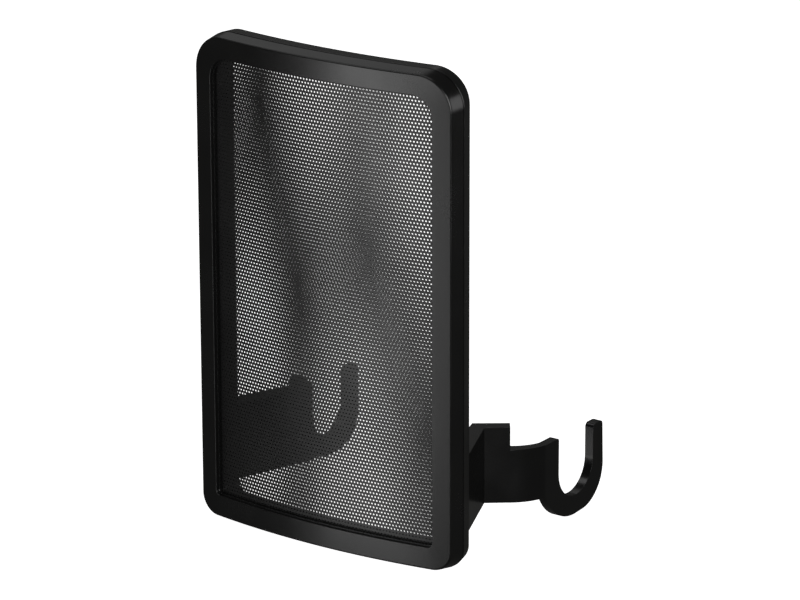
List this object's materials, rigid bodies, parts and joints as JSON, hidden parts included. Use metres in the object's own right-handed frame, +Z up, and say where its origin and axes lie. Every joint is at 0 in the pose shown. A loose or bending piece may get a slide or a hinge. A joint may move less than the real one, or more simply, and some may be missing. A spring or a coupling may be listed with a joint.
{
  "type": "curved microphone pop filter",
  "caption": "Curved rectangular pop filter: two fine perforated screens in a slim plastic frame, with hook arms behind it that hang it on a microphone's shock mount.",
  "frame": {"origin": "centre of the whole object's bounding box", "axes": "+X to the right as the talker sees the screen, +Y back towards the microphone, +Z up"},
  "size_m": [0.1008, 0.09, 0.1624],
  "materials": {
    "bezel_plastic": "satin black moulded plastic with a very fine grain",
    "frame_plastic": "satin black moulded plastic with a very fine grain",
    "arm_plastic": "satin black moulded plastic with softly rounded edges",
    "spacer_plastic": "dull black plastic",
    "screen_steel": "perforated sheet steel with a thin satin black coating",
    "screw_steel": "dark plated steel"
  },
  "bodies": {
    "root": {"front_bezel": "bezel_plastic", "rear_frame": "frame_plastic", "front_screen": "screen_steel", "rear_screen": "screen_steel", "screen_spacer": "spacer_plastic", "left_hook_arm": "arm_plastic", "right_hook_arm": "arm_plastic", "frame_screw_left_upper": "screw_steel", "frame_screw_left_middle": "screw_steel", "frame_screw_left_lower": "screw_steel", "frame_screw_top_left": "screw_steel", "frame_screw_bottom_left": "screw_steel", "frame_screw_right_upper": "screw_steel", "frame_screw_right_middle": "screw_steel", "frame_screw_right_lower": "screw_steel", "frame_screw_top_right": "screw_steel", "frame_screw_bottom_right": "screw_steel", "arm_screw_left_upper": "screw_steel", "arm_screw_left_lower": "screw_steel", "arm_screw_right_upper": "screw_steel", "arm_screw_right_lower": "screw_steel"}
  },
  "joints": []
}
